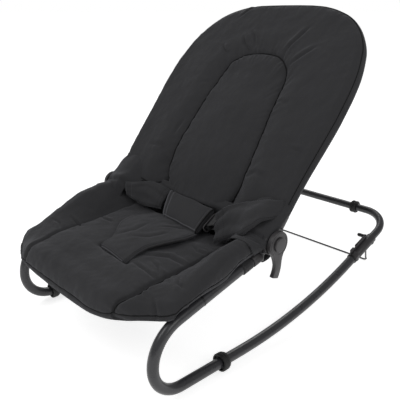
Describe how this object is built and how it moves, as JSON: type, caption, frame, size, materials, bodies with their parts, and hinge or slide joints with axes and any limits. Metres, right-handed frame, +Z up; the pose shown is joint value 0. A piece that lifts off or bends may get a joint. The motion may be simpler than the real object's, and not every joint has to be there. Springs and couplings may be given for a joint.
{
  "type": "baby_bouncer",
  "caption": "Baby bouncer on a bent steel tube frame, with reclining back, release levers, fold-under wire stand and a dark padded cover with waist belt",
  "frame": {"origin": "On the floor, in the middle of the bounding box seen from above.", "axes": "+Z is up. +Y points from the open front end to the rear crossbar, and the child faces -Y. +X is the child's left."},
  "size_m": [0.4762, 0.7121, 0.5665],
  "materials": {
    "tube_paint": "satin powder coat",
    "black_plastic": "fine grain",
    "black_rubber": "moulded",
    "hinge_plastic": "fine grain",
    "zinc_steel": "zinc plated",
    "cover_fabric": "woven polyester, quilted",
    "strap_webbing": "woven webbing"
  },
  "bodies": {
    "base": {"side_tube_left": "tube_paint", "side_tube_right": "tube_paint", "seat_tube_left": "tube_paint", "seat_tube_right": "tube_paint", "splice_sleeve_left": "black_plastic", "splice_sleeve_right": "black_plastic", "splice_ring_left": "black_plastic", "splice_ring_right": "black_plastic", "rear_tube": "tube_paint", "rail_joint_left": "hinge_plastic", "rail_joint_right": "hinge_plastic", "joint_ring_left": "black_rubber", "joint_ring_right": "black_rubber", "joint_screw_left_1": "black_plastic", "joint_screw_left_2": "black_plastic", "joint_screw_right_1": "black_plastic", "joint_screw_right_2": "black_plastic", "foot_ring_left": "black_rubber", "foot_ring_right": "black_rubber", "bumper_ring_left": "black_rubber", "bumper_ring_right": "black_rubber", "stand_pin_left": "zinc_steel", "stand_pin_right": "zinc_steel", "stand_cap_left": "black_plastic", "stand_cap_right": "black_plastic", "front_bow": "tube_paint", "seat_pad": "cover_fabric", "cover_crease": "cover_fabric", "cover_loop_left": "strap_webbing", "cover_loop_right": "strap_webbing", "crotch_pad": "cover_fabric", "waist_roll": "cover_fabric", "waist_belt_left": "cover_fabric", "waist_belt_right": "cover_fabric", "buckle_body": "black_plastic", "buckle_loop": "strap_webbing", "waist_strap_left": "strap_webbing", "hinge_housing_left": "hinge_plastic", "hinge_housing_right": "hinge_plastic", "hinge_axle_left": "zinc_steel", "hinge_axle_right": "zinc_steel", "gear_spring_left": "zinc_steel", "gear_spring_right": "zinc_steel"},
    "back": {"back_tube": "tube_paint", "back_pad": "cover_fabric", "hinge_arm_left": "hinge_plastic", "hinge_arm_right": "hinge_plastic"},
    "stand": {"stand_wire": "tube_paint"},
    "lever_left": {"release_lever_left": "hinge_plastic", "hinge_cap_left": "hinge_plastic"},
    "lever_right": {"release_lever_right": "hinge_plastic", "hinge_cap_right": "hinge_plastic"},
    "cone_left": {"locking_cone_left": "zinc_steel"},
    "cone_right": {"locking_cone_right": "zinc_steel"},
    "tongue": {"buckle_tongue": "black_plastic"}
  },
  "joints": [
    {"name": "recline", "type": "hinge", "parent": "base", "child": "back", "pos_m": [0, -0.09235, 0.2055], "axis": [-1, 0, 0], "range_deg": [0, 30], "deforming": ["cover_crease"]},
    {"name": "stand_fold", "type": "hinge", "parent": "base", "child": "stand", "pos_m": [0, 0.27215, 0.0965], "axis": [-1, 0, 0], "range_deg": [0, 110]},
    {"name": "release_left", "type": "hinge", "parent": "base", "child": "lever_left", "pos_m": [0.231, -0.09235, 0.2055], "axis": [1, 0, 0], "range_deg": [0, 30], "stiffness_Nm_per_rad": 0.6, "springref_deg": -5.73},
    {"name": "lock_left", "type": "slide", "parent": "base", "child": "cone_left", "axis": [-1, 0, 0], "range_m": [0, 0.004], "deforming": ["gear_spring_left"]},
    {"name": "release_right", "type": "hinge", "parent": "base", "child": "lever_right", "pos_m": [-0.231, -0.09235, 0.2055], "axis": [1, 0, 0], "range_deg": [0, 30], "stiffness_Nm_per_rad": 0.6, "springref_deg": -5.73},
    {"name": "lock_right", "type": "slide", "parent": "base", "child": "cone_right", "axis": [1, 0, 0], "range_m": [0, 0.004], "deforming": ["gear_spring_right"]},
    {"name": "buckle_open", "type": "slide", "parent": "base", "child": "tongue", "axis": [0.8704, -0.3002, 0.3902], "range_m": [0, 0.016], "deforming": ["waist_strap_left", "buckle_tongue"]}
  ],
  "couplings": [
    {"joint": "lock_left", "follows": "release_left", "m_per_rad": 0.00763},
    {"joint": "lock_right", "follows": "release_right", "m_per_rad": 0.00763}
  ]
}
